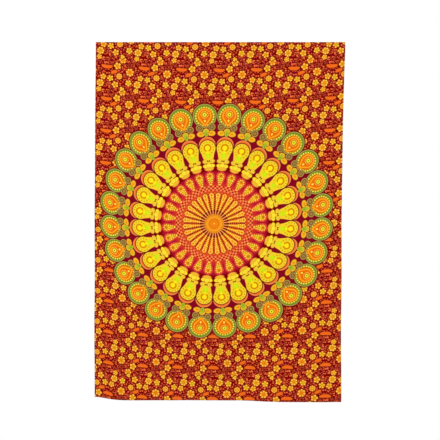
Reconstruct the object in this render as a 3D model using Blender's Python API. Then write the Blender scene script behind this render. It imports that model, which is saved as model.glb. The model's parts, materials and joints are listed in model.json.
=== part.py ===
"""A printed cotton wall hanging on a flat wooden batten, as separate pieces.

Frame: metres, +Z up. The wall is the plane Y = 0 and the print faces -Y. The origin is the
centre of the hanging sleeve's back face, which lies against the wall.

The cloth hangs in three moving groups. The batten is nailed to the wall through its two ends.
The heading is the band of cloth with the sleeve on its back: it slides along the batten. The
drop is the cloth below the sleeve: it swings forward about the sleeve's lower edge.
"""

import bmesh
import bpy
from mathutils import Matrix, Vector

# ---- driving dimensions, in metres ---------------------------------------------------------
CLOTH_WIDTH = 1.400          # finished width, side hem to side hem
CLOTH_HEIGHT = 2.000         # finished height, top hem to bottom hem
CLOTH_THICKNESS = 0.0005     # one layer of printed cotton

HEM_THICKNESS = 0.0008       # the two turned layers behind the print
TOP_HEM_WIDTH = 0.015
SIDE_HEM_WIDTH = 0.012
BOTTOM_HEM_WIDTH = 0.015

BATTEN_HEIGHT = 0.030
BATTEN_THICKNESS = 0.005
BATTEN_EDGE_ROUND = 0.0008
BATTEN_END_SHOW = 0.012      # wood that sticks out of each end of the sleeve
NAIL_HOLE_RADIUS = 0.002
NAIL_HOLE_INSET = 0.006      # from the batten's end to the hole's centre

SLEEVE_WALL = 0.0006
SLEEVE_FLANGE = 0.006        # flat seam allowance above and below the tube
SLEEVE_SIDE_INSET = 0.020    # from the cloth's side edge to the sleeve's open end
SLEEVE_TOP_INSET = 0.004     # from the cloth's top edge to the sleeve's upper flange

THREAD_THICKNESS = 0.0004
THREAD_WIDTH = 0.0005
STITCH_INSET = 0.002         # from a hem's raw edge to its line of stitches

# ---- clearances ----------------------------------------------------------------------------
LAYER_GAP = 0.0003           # between pieces that touch
BATTEN_DEPTH_GAP = 0.0005    # from the wood to the tube's front and back walls
BATTEN_HEIGHT_GAP = 0.0015   # from the wood to the tube's upper and lower walls
HINGE_GAP = 0.0010           # between the heading's cloth and the drop's cloth
STITCH_HINGE_CLEAR = 0.003   # from the hinge line to the ends of the side stitching
SLEEVE_HINGE_CLEAR = 0.001   # from the sleeve's lower flange to the hinge gap

HOLE_SIDES = 24
CUT_OVERRUN = 0.010          # how far a cutter passes the piece that it cuts
QUARTER_TURN = 1.5707963267948966

# ---- places worked out from the dimensions -------------------------------------------------
HALF_WIDTH = CLOTH_WIDTH / 2
TUNNEL_HALF_HEIGHT = BATTEN_HEIGHT / 2 + BATTEN_HEIGHT_GAP
TUBE_HALF_HEIGHT = TUNNEL_HALF_HEIGHT + SLEEVE_WALL
FLANGE_HALF_HEIGHT = TUBE_HALF_HEIGHT + SLEEVE_FLANGE
SLEEVE_HALF_LENGTH = HALF_WIDTH - SLEEVE_SIDE_INSET
BATTEN_HALF_LENGTH = SLEEVE_HALF_LENGTH + BATTEN_END_SHOW

CLOTH_TOP = FLANGE_HALF_HEIGHT + SLEEVE_TOP_INSET
CLOTH_BOTTOM = CLOTH_TOP - CLOTH_HEIGHT
HINGE_Z = -FLANGE_HALF_HEIGHT - SLEEVE_HINGE_CLEAR - HINGE_GAP / 2
HEADING_BOTTOM = HINGE_Z + HINGE_GAP / 2
DROP_TOP = HINGE_Z - HINGE_GAP / 2

# Depths run from the wall towards the viewer, so each is more negative than the last.
SLEEVE_BACK = 0.0
TUNNEL_BACK = SLEEVE_BACK - SLEEVE_WALL
BATTEN_BACK = TUNNEL_BACK - BATTEN_DEPTH_GAP
BATTEN_FRONT = BATTEN_BACK - BATTEN_THICKNESS
TUNNEL_FRONT = BATTEN_FRONT - BATTEN_DEPTH_GAP
SLEEVE_FRONT = TUNNEL_FRONT - SLEEVE_WALL
HEM_BACK = SLEEVE_FRONT - LAYER_GAP
HEM_FRONT = HEM_BACK - HEM_THICKNESS
CLOTH_BACK = HEM_FRONT - LAYER_GAP
CLOTH_FRONT = CLOTH_BACK - CLOTH_THICKNESS
THREAD_BACK = CLOTH_FRONT - LAYER_GAP
THREAD_FRONT = THREAD_BACK - THREAD_THICKNESS
HINGE_Y = (CLOTH_BACK + CLOTH_FRONT) / 2

# Lines of stitches, each given by its middle.
SIDE_STITCH_X = HALF_WIDTH - SIDE_HEM_WIDTH + STITCH_INSET
TOP_STITCH_Z = CLOTH_TOP - TOP_HEM_WIDTH + STITCH_INSET
BOTTOM_STITCH_Z = CLOTH_BOTTOM + BOTTOM_HEM_WIDTH - STITCH_INSET
FLANGE_STITCH_Z = TUBE_HALF_HEIGHT + SLEEVE_FLANGE / 2
CROSS_STITCH_HALF = SIDE_STITCH_X - THREAD_WIDTH / 2 - LAYER_GAP


def clear_scene():
    """Remove every object that the scene starts with."""
    for item in list(bpy.data.objects):
        bpy.data.objects.remove(item, do_unlink=True)


def make_material(name, colour, roughness):
    """A Principled material with a plain colour."""
    material = bpy.data.materials.new(name)
    material.use_nodes = True
    shader = material.node_tree.nodes["Principled BSDF"]
    shader.inputs["Base Color"].default_value = (*colour, 1.0)
    shader.inputs["Roughness"].default_value = roughness
    shader.inputs["Metallic"].default_value = 0.0
    return material


def make_pivot(name, position, parent=None):
    """An empty that stands on a joint's axis and carries the pieces that move with it."""
    pivot = bpy.data.objects.new(name, None)
    bpy.context.collection.objects.link(pivot)
    pivot.parent = parent
    pivot.location = Vector(position) - (parent.matrix_world.translation if parent else Vector())
    bpy.context.view_layer.update()
    return pivot


def place(piece, centre, pivot):
    """Put a piece's origin at centre, in world metres, and hang it on its pivot."""
    bpy.context.collection.objects.link(piece)
    piece.parent = pivot
    piece.location = Vector(centre) - (pivot.matrix_world.translation if pivot else Vector())


def make_block(name, low, high, material, pivot=None):
    """A rectangular solid between two corners, with its origin at its middle."""
    low, high = Vector(low), Vector(high)
    shape = bmesh.new()
    bmesh.ops.create_cube(shape, size=1.0, matrix=Matrix.Diagonal((*(high - low), 1.0)))
    mesh = bpy.data.meshes.new(name)
    shape.to_mesh(mesh)
    shape.free()
    piece = bpy.data.objects.new(name, mesh)
    mesh.materials.append(material)
    place(piece, (low + high) / 2, pivot)
    return piece


def hide_cutter(cutter):
    """Mark a piece as a cutting tool, so that it isn't part of the hanging."""
    cutter.hide_render = True
    cutter.display_type = "WIRE"


def cut(piece, cutter):
    """Take the cutter's shape out of the piece."""
    hide_cutter(cutter)
    boolean = piece.modifiers.new("cut_" + cutter.name, "BOOLEAN")
    boolean.operation = "DIFFERENCE"
    boolean.solver = "EXACT"
    boolean.object = cutter


def make_batten(wood):
    """The flat batten, its long edges softened, with a nail hole near each end."""
    batten = make_block(
        "batten",
        (-BATTEN_HALF_LENGTH, BATTEN_FRONT, -BATTEN_HEIGHT / 2),
        (BATTEN_HALF_LENGTH, BATTEN_BACK, BATTEN_HEIGHT / 2),
        wood,
    )
    rounding = batten.modifiers.new("edge_round", "BEVEL")
    rounding.width = BATTEN_EDGE_ROUND
    rounding.segments = 2
    for side, word in ((-1, "left"), (1, "right")):
        cut(batten, make_hole_cutter(word + "_nail_hole", side, wood))


def make_hole_cutter(name, side, material):
    """A round bar along Y that makes the nail hole on one side (-1 left, 1 right)."""
    shape = bmesh.new()
    bmesh.ops.create_cone(
        shape,
        cap_ends=True,
        segments=HOLE_SIDES,
        radius1=NAIL_HOLE_RADIUS,
        radius2=NAIL_HOLE_RADIUS,
        depth=BATTEN_THICKNESS + 2 * CUT_OVERRUN,
        matrix=Matrix.Rotation(QUARTER_TURN, 4, "X"),
    )
    mesh = bpy.data.meshes.new(name)
    shape.to_mesh(mesh)
    shape.free()
    mesh.materials.append(material)
    cutter = bpy.data.objects.new(name, mesh)
    across = side * (BATTEN_HALF_LENGTH - NAIL_HOLE_INSET)
    place(cutter, (across, (BATTEN_FRONT + BATTEN_BACK) / 2, 0.0), None)
    return cutter


def make_sleeve(cotton, pivot):
    """The flat tube as its four sides: a front with two flanges, a back, and two narrow edges."""
    reach = SLEEVE_HALF_LENGTH
    make_block(
        "sleeve_front",
        (-reach, SLEEVE_FRONT, -FLANGE_HALF_HEIGHT),
        (reach, TUNNEL_FRONT, FLANGE_HALF_HEIGHT),
        cotton,
        pivot,
    )
    make_block(
        "sleeve_back",
        (-reach, TUNNEL_BACK, -TUBE_HALF_HEIGHT),
        (reach, SLEEVE_BACK, TUBE_HALF_HEIGHT),
        cotton,
        pivot,
    )
    for word, side in (("upper", 1), ("lower", -1)):
        low, high = sorted((side * TUNNEL_HALF_HEIGHT, side * TUBE_HALF_HEIGHT))
        make_block(
            "sleeve_" + word + "_edge",
            (-reach, TUNNEL_FRONT + LAYER_GAP, low),
            (reach, TUNNEL_BACK - LAYER_GAP, high),
            cotton,
            pivot,
        )


def make_side_hem(name, side, bottom, top, material, pivot):
    """A turned side hem on one side (-1 left, 1 right), behind the cloth's edge."""
    outer, inner = HALF_WIDTH, HALF_WIDTH - SIDE_HEM_WIDTH
    near, far = sorted((side * outer, side * inner))
    make_block(name, (near, HEM_FRONT, bottom), (far, HEM_BACK, top), material, pivot)


def make_cross_hem(name, bottom, top, material, pivot):
    """A turned hem that runs across, between the two side hems."""
    reach = HALF_WIDTH - SIDE_HEM_WIDTH - LAYER_GAP
    make_block(name, (-reach, HEM_FRONT, bottom), (reach, HEM_BACK, top), material, pivot)


def make_side_stitching(name, side, bottom, top, thread, pivot):
    """A vertical line of stitches on the front, along one side hem."""
    middle = side * SIDE_STITCH_X
    make_block(
        name,
        (middle - THREAD_WIDTH / 2, THREAD_FRONT, bottom),
        (middle + THREAD_WIDTH / 2, THREAD_BACK, top),
        thread,
        pivot,
    )


def make_cross_stitching(name, height, reach, thread, pivot):
    """A horizontal line of stitches on the front, from -reach to reach."""
    make_block(
        name,
        (-reach, THREAD_FRONT, height - THREAD_WIDTH / 2),
        (reach, THREAD_BACK, height + THREAD_WIDTH / 2),
        thread,
        pivot,
    )


def make_panel(name, bottom, top, material, pivot):
    """A full-width stretch of the printed cloth."""
    low = (-HALF_WIDTH, CLOTH_FRONT, bottom)
    high = (HALF_WIDTH, CLOTH_BACK, top)
    make_block(name, low, high, material, pivot)


def make_heading(print_cotton, hem_cotton, lining, thread, pivot):
    """The band of cloth that carries the sleeve, with its hems and seams."""
    make_panel("panel_heading", HEADING_BOTTOM, CLOTH_TOP, print_cotton, pivot)
    make_cross_hem("top_hem", CLOTH_TOP - TOP_HEM_WIDTH, CLOTH_TOP, hem_cotton, pivot)
    make_sleeve(lining, pivot)
    make_cross_stitching("top_hem_stitching", TOP_STITCH_Z, CROSS_STITCH_HALF, thread, pivot)
    for word, height in (("upper", FLANGE_STITCH_Z), ("lower", -FLANGE_STITCH_Z)):
        name = "sleeve_" + word + "_stitching"
        make_cross_stitching(name, height, SLEEVE_HALF_LENGTH, thread, pivot)
    low, high = HEADING_BOTTOM + STITCH_HINGE_CLEAR, CLOTH_TOP - STITCH_INSET
    for word, side in (("left", -1), ("right", 1)):
        hem = "heading_" + word + "_hem"
        make_side_hem(hem, side, HEADING_BOTTOM, CLOTH_TOP, hem_cotton, pivot)
        make_side_stitching("heading_" + word + "_stitching", side, low, high, thread, pivot)


def make_drop(print_cotton, hem_cotton, thread, pivot):
    """The cloth that hangs free below the sleeve, with its hems and seams."""
    make_panel("panel_drop", CLOTH_BOTTOM, DROP_TOP, print_cotton, pivot)
    make_cross_hem("bottom_hem", CLOTH_BOTTOM, CLOTH_BOTTOM + BOTTOM_HEM_WIDTH, hem_cotton, pivot)
    reach = CROSS_STITCH_HALF
    make_cross_stitching("bottom_hem_stitching", BOTTOM_STITCH_Z, reach, thread, pivot)
    low, high = CLOTH_BOTTOM + STITCH_INSET, DROP_TOP - STITCH_HINGE_CLEAR
    for word, side in (("left", -1), ("right", 1)):
        make_side_hem("drop_" + word + "_hem", side, CLOTH_BOTTOM, DROP_TOP, hem_cotton, pivot)
        make_side_stitching(word + "_hem_stitching", side, low, high, thread, pivot)


def main():
    """Build the batten, the heading and the drop."""
    clear_scene()
    print_cotton = make_material("printed_cotton", (0.42, 0.06, 0.05), 0.85)
    hem_cotton = make_material("hem_cotton", (0.45, 0.12, 0.08), 0.88)
    lining = make_material("sleeve_cotton", (0.62, 0.50, 0.36), 0.90)
    thread = make_material("hem_thread", (0.36, 0.04, 0.04), 0.70)
    wood = make_material("batten_wood", (0.62, 0.45, 0.26), 0.60)

    make_batten(wood)
    batten_middle = (0.0, (BATTEN_FRONT + BATTEN_BACK) / 2, 0.0)
    heading_slide = make_pivot("heading_slide", batten_middle)
    drop_swing = make_pivot("drop_swing", (0.0, HINGE_Y, HINGE_Z), heading_slide)
    make_heading(print_cotton, hem_cotton, lining, thread, heading_slide)
    make_drop(print_cotton, hem_cotton, thread, drop_swing)


main()
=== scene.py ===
"""A printed cotton wall hanging on a hidden batten: cloth, hems, seams, sleeve and studio.

The cloth has its own plan, in metres: u runs right from the cloth's middle and v runs down from
its top edge. Every piece of the cloth is a surface worked out over that plan, and the print, the
weave and the seams all read it, so they stay together wherever the cloth bends.
"""

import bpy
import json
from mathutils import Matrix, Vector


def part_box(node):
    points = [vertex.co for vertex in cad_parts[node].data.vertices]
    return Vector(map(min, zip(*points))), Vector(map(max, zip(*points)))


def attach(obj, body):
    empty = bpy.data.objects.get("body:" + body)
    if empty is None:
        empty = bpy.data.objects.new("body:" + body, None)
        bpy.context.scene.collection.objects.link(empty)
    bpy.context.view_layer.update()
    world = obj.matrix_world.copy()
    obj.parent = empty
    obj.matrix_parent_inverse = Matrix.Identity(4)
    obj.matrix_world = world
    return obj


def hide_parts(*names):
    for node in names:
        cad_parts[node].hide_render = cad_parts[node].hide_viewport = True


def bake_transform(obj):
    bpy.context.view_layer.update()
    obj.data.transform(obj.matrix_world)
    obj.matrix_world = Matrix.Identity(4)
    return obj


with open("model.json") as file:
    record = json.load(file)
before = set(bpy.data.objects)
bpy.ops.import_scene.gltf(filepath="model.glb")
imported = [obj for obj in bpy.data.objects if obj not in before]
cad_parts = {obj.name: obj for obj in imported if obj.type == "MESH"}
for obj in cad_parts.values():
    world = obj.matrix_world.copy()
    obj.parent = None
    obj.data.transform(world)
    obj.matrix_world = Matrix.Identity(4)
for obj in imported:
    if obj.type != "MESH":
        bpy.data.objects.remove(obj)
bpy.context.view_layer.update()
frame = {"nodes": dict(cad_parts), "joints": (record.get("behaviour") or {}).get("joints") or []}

import json
import logging
import math
from collections.abc import Sequence
from dataclasses import dataclass
from enum import Enum
from typing import Protocol

import bpy
import numpy as np

logging.basicConfig(level=logging.INFO, format="%(levelname)s %(message)s")
LOG = logging.getLogger("hanging")

PER_METRE = 1000.0
TURN = 2 * math.pi
PLAN = "cloth_plan"
REVERSE = "reverse_side"

Array = np.ndarray


class Ink(Enum):
    """The dyes and printing inks, as display colours from 0 to 255."""

    CRIMSON = (124, 2, 2)
    WINE = (124, 2, 24)
    PLUM = (130, 8, 32)
    OXBLOOD = (92, 4, 2)
    SALMON = (254, 124, 70)
    CORAL = (220, 74, 36)
    ROSE = (212, 82, 52)
    LEAF_ORANGE = (240, 106, 28)
    PETAL_GOLD = (253, 184, 40)
    PETAL_TIP = (255, 230, 124)
    HEART_ORANGE = (236, 144, 28)
    HEART_GREEN = (208, 192, 24)
    TULIP_YELLOW = (252, 198, 50)
    STONE = (176, 156, 80)
    MOSS = (126, 150, 32)
    DARK_MOSS = (94, 114, 20)
    BEAD_YELLOW = (250, 228, 84)
    DEEP_ORANGE = (228, 94, 4)
    MID_ORANGE = (240, 122, 14)
    LIGHT_ORANGE = (254, 168, 32)
    ROSETTE_YELLOW = (236, 232, 46)
    ROSETTE_GREEN = (188, 192, 34)
    OLIVE_DOT = (106, 112, 12)
    OLIVE = (146, 112, 50)
    OLIVE_LIGHT = (184, 150, 78)
    OLIVE_DARK = (96, 66, 22)
    LOBE_YELLOW = (238, 184, 48)
    LOBE_ORANGE = (230, 140, 18)
    SPRIG = (186, 186, 38)
    SPRIG_DARK = (118, 164, 42)
    CRESCENT = (240, 112, 46)
    BROWN_LINE = (112, 22, 6)
    BULB_YELLOW = (248, 205, 42)
    BULB_GREEN = (236, 206, 30)
    BULB_RING = (228, 142, 12)
    BULB_HEART = (255, 230, 24)
    LIME = (198, 234, 22)
    TICK = (150, 142, 14)
    FOOT_YELLOW = (248, 223, 52)
    PEACH = (250, 150, 78)
    RED_ORANGE = (228, 84, 48)
    BLUSH = (222, 78, 52)
    RED = (202, 44, 36)
    MAGENTA = (172, 20, 46)
    INNER_GOLD = (240, 172, 30)
    WAIST = (236, 196, 58)
    PETAL_RED = (218, 60, 36)
    GOLD_SHADE = (206, 116, 12)
    SPOKE = (112, 20, 2)
    SPOKE_GOLD = (240, 148, 28)
    CORE_ORANGE = (240, 130, 18)
    CORE_LIGHT = (244, 158, 34)
    CORE_EDGE = (216, 118, 12)
    CORE_DOT = (255, 196, 74)

    @property
    def linear(self) -> tuple[float, float, float, float]:
        """The colour as scene-linear values, with full cover."""
        parts = [channel / 255 for channel in self.value]
        return (*[p / 12.92 if p <= 0.04045 else ((p + 0.055) / 1.055) ** 2.4 for p in parts], 1.0)


# ---- wiring shader nodes ----
class Signal:
    """The output of a shader node, which arithmetic turns into more nodes."""

    def __init__(self, sketch: "Sketch", socket: bpy.types.NodeSocket) -> None:
        """Keep the socket and the sketch that it belongs to."""
        self.sketch = sketch
        self.socket = socket

    def __add__(self, other: "Signal | float") -> "Signal":
        """Sum."""
        return self.sketch.math("ADD", self, other)

    def __sub__(self, other: "Signal | float") -> "Signal":
        """Difference."""
        return self.sketch.math("SUBTRACT", self, other)

    def __rsub__(self, other: float) -> "Signal":
        """Difference, with the number first."""
        return self.sketch.math("SUBTRACT", other, self)

    def __mul__(self, other: "Signal | float") -> "Signal":
        """Product."""
        return self.sketch.math("MULTIPLY", self, other)

    def __truediv__(self, other: "Signal | float") -> "Signal":
        """Quotient."""
        return self.sketch.math("DIVIDE", self, other)

    def __abs__(self) -> "Signal":
        """Size without sign."""
        return self.sketch.math("ABSOLUTE", self)


Number = Signal | float
Inputs = dict[str | int, object]


class Sketch:
    """A node tree that is being wired, one node after another, in the order of its reckoning."""

    def __init__(self, tree: bpy.types.NodeTree) -> None:
        """Start on a tree."""
        self.tree = tree

    def wire(self, node: bpy.types.Node, inputs: Inputs) -> None:
        """Link signals to a node's inputs, or set them to numbers, vectors or inks.

        Args:
            node: the node.
            inputs: the values, by the inputs' names or numbers.
        """
        for key, value in inputs.items():
            if isinstance(value, Signal):
                self.tree.links.new(value.socket, node.inputs[key])
            else:
                node.inputs[key].default_value = value.linear if isinstance(value, Ink) else value

    def node(self, kind: str, inputs: Inputs | None = None, **settings: object) -> bpy.types.Node:
        """A new node.

        Args:
            kind: its class name.
            inputs: the values of its inputs.
            settings: its properties, by name.

        Returns:
            The node.
        """
        node = self.tree.nodes.new(kind)
        for name, value in settings.items():
            setattr(node, name, value)
        self.wire(node, inputs or {})
        return node

    def signal(self, kind: str, output: str | int, inputs: Inputs, **settings: object) -> Signal:
        """One output of a new node."""
        return Signal(self, self.node(kind, inputs, **settings).outputs[output])

    def math(self, operation: str, *values: Number, clamp: bool = False) -> Signal:
        """The result of a Math node, kept from 0 to 1 if clamp is set."""
        inputs = dict(enumerate(values))
        return self.signal("ShaderNodeMath", 0, inputs, operation=operation, use_clamp=clamp)

    def vector(self, operation: str, *values: object, output: str = "Vector") -> Signal:
        """The result of a Vector Math node."""
        return self.signal("ShaderNodeVectorMath", output, dict(enumerate(values)), operation=operation)

    def length(self, vector: Signal) -> Signal:
        """A vector's length."""
        return self.vector("LENGTH", vector, output="Value")

    def join(self, x: Number, y: Number) -> Signal:
        """A vector from its first two numbers."""
        return self.signal("ShaderNodeCombineXYZ", 0, {0: x, 1: y})

    def split(self, vector: Signal) -> tuple[Signal, Signal]:
        """A vector's first two numbers."""
        node = self.node("ShaderNodeSeparateXYZ", {0: vector})
        return Signal(self, node.outputs[0]), Signal(self, node.outputs[1])

    def scaled(self, value: Number, factor: Number, offset: Number = 0.0) -> Signal:
        """value times factor plus offset."""
        return self.math("MULTIPLY_ADD", value, factor, offset)

    def ramp(self, value: Number, factor: float, offset: Number) -> Signal:
        """value times factor plus offset, kept from 0 to 1."""
        return self.math("MULTIPLY_ADD", value, factor, offset, clamp=True)

    def wrapped(self, value: Signal, half: float) -> Signal:
        """A value brought into the range from -half to half by whole steps of twice half."""
        return self.math("WRAP", value, half, -half)

    def hypot(self, x: Signal, y: Signal) -> Signal:
        """The length of the step (x, y)."""
        return self.math("SQRT", self.scaled(x, x, y * y))

    def inside(self, distance: Signal, soft: float) -> Signal:
        """1 where a signed distance is below nought, 0 where above, with an edge soft wide."""
        return self.ramp(distance, -1 / soft, 0.5)

    def mix(self, factor: Number, first: object, second: object) -> Signal:
        """A colour between two: the first at factor 0 and the second at 1."""
        inputs = {"Factor": factor, 6: first, 7: second}
        return self.signal("ShaderNodeMix", 2, inputs, data_type="RGBA", blend_type="MIX")

    def noise(self, place: Signal, scale: float, detail: float, output: str = "Fac") -> Signal:
        """Three-dimensional noise, as a number from 0 to 1 or as a colour."""
        inputs = {"Vector": place, "Scale": scale, "Detail": detail}
        return self.signal("ShaderNodeTexNoise", output, inputs, noise_dimensions="3D")

    def stamp(self, tree: bpy.types.NodeTree, output: str, **inputs: object) -> Signal:
        """One output of a node group, whose inputs are given by name."""
        return self.signal("ShaderNodeGroup", output, inputs, node_tree=tree)


class Canvas:
    """A colour that is painted over, layer by layer."""

    def __init__(self, sketch: Sketch, ground: object) -> None:
        """Start from a ground, an ink or a signal."""
        self.sketch = sketch
        self.colour = ground

    def fill(self, mask: Number, ink: object) -> None:
        """Lay an ink over the colour where the mask is 1."""
        self.colour = self.sketch.mix(mask, self.colour, ink)

    def shape(self, distance: Signal, ink: object, soft: float) -> None:
        """Lay an ink inside an outline that is given as a signed distance in millimetres."""
        self.fill(self.sketch.inside(distance, soft), ink)

    def rings(self, distance: Signal, bands: Sequence[tuple[float, Ink]], soft: float) -> None:
        """Lay nested bands of ink that follow a distance.

        Args:
            distance: the distance that the bands follow, in millimetres.
            bands: each band's outer end and ink, from the inside out. Nothing lies past the last.
            soft: how wide the change between two bands is.
        """
        low = bands[0][0] - 2 * soft
        span = bands[-1][0] + soft - low
        along = self.sketch.ramp(distance, 1 / span, -low / span)
        ramp = self.sketch.node("ShaderNodeValToRGB", {0: along})
        stops = [(0.0, bands[0][1], 1.0)]
        for (end, ink), (_, after) in zip(bands, bands[1:]):
            stops.append(((end - soft / 2 - low) / span, ink, 1.0))
            stops.append(((end + soft / 2 - low) / span, after, 1.0))
        end, ink = bands[-1]
        stops.append(((end - soft / 2 - low) / span, ink, 1.0))
        stops.append(((end + soft / 2 - low) / span, ink, 0.0))
        elements = ramp.color_ramp.elements
        while len(elements) < len(stops):
            elements.new(1.0)
        for element, (position, ink, cover) in zip(elements, stops):
            element.position = position
            element.color = (*ink.linear[:3], cover)
        cover = Signal(self.sketch, ramp.outputs["Alpha"])
        self.fill(cover, Signal(self.sketch, ramp.outputs["Color"]))


class Group:
    """A shader node group that is being wired."""

    def __init__(self, name: str, inputs: dict[str, str], outputs: dict[str, str]) -> None:
        """Start the group.

        Args:
            name: the group's name.
            inputs: each input's name and kind, one of Float, Vector and Color.
            outputs: the same for the outputs.
        """
        self.tree = bpy.data.node_groups.new(name, "ShaderNodeTree")
        for direction, sockets in (("INPUT", inputs), ("OUTPUT", outputs)):
            for label, kind in sockets.items():
                self.tree.interface.new_socket(label, in_out=direction, socket_type="NodeSocket" + kind)
        self.sketch = Sketch(self.tree)
        source = self.sketch.node("NodeGroupInput")
        self.given = {label: Signal(self.sketch, source.outputs[label]) for label in inputs}

    def finish(self, **results: Signal) -> bpy.types.NodeTree:
        """Wire the results to the outputs and return the group."""
        self.sketch.node("NodeGroupOutput", results)
        return self.tree


# ---- the printed field ----
@dataclass(frozen=True)
class Flower:
    """A scalloped flower of the field, in millimetres from its tile's corner."""

    across: float
    down: float
    radius: float
    petals: int
    turn: float
    depth: float
    heart: Ink
    petal: Ink = Ink.PETAL_GOLD
    tip: Ink = Ink.PETAL_TIP


@dataclass(frozen=True)
class Leaf:
    """A rounded leaf of the field: its centre, half length, half width, tilt and bend."""

    across: float
    down: float
    long: float
    wide: float
    tilt: float
    bend: float


def flower_group() -> bpy.types.NodeTree:
    """One flower: radius R times (1 - 2 depth + 2 depth |cos(petals x angle / 2)|).

    Returns:
        The group, which takes the colour below and gives the colour with the flower over it.
    """
    inputs = {
        "Below": "Color", "Offset": "Vector", "Radius": "Float", "Petals": "Float",
        "Turn": "Float", "Depth": "Float", "Heart": "Color", "Petal": "Color", "Tip": "Color",
    }
    group = Group("printed_flower", inputs, {"Color": "Color"})
    sketch, given = group.sketch, group.given
    x, y = sketch.split(given["Offset"])
    angle = sketch.math("ARCTAN2", y, x)
    lobes = abs(sketch.math("COSINE", sketch.scaled(angle, given["Petals"] * 0.5, given["Turn"])))
    reach = sketch.length(given["Offset"]) / given["Radius"]
    edge = sketch.scaled(lobes - 1.0, given["Depth"] * 2.0, 1.0)
    past = (reach - edge) * given["Radius"]
    canvas = Canvas(sketch, given["Below"])
    canvas.shape(past - 3.6, Ink.OXBLOOD, 2.4)
    canvas.shape(past - 0.4, Ink.DEEP_ORANGE, 2.0)
    petals = sketch.inside(past + 1.2, 2.4)
    canvas.fill(petals, given["Petal"])
    tips = sketch.ramp(reach, 4.0, -2.55)
    canvas.fill(tips * sketch.inside(past + 2.6, 2.4), given["Tip"])
    gaps = sketch.ramp(lobes, -4.0, 1.9)
    canvas.fill(gaps * petals * 0.75, Ink.BROWN_LINE)
    canvas.fill(sketch.ramp(reach, -5.0, 2.45), Ink.GOLD_SHADE)
    canvas.fill(sketch.ramp(reach, -5.0, 1.9), given["Heart"])
    return group.finish(Color=canvas.colour)


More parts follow.
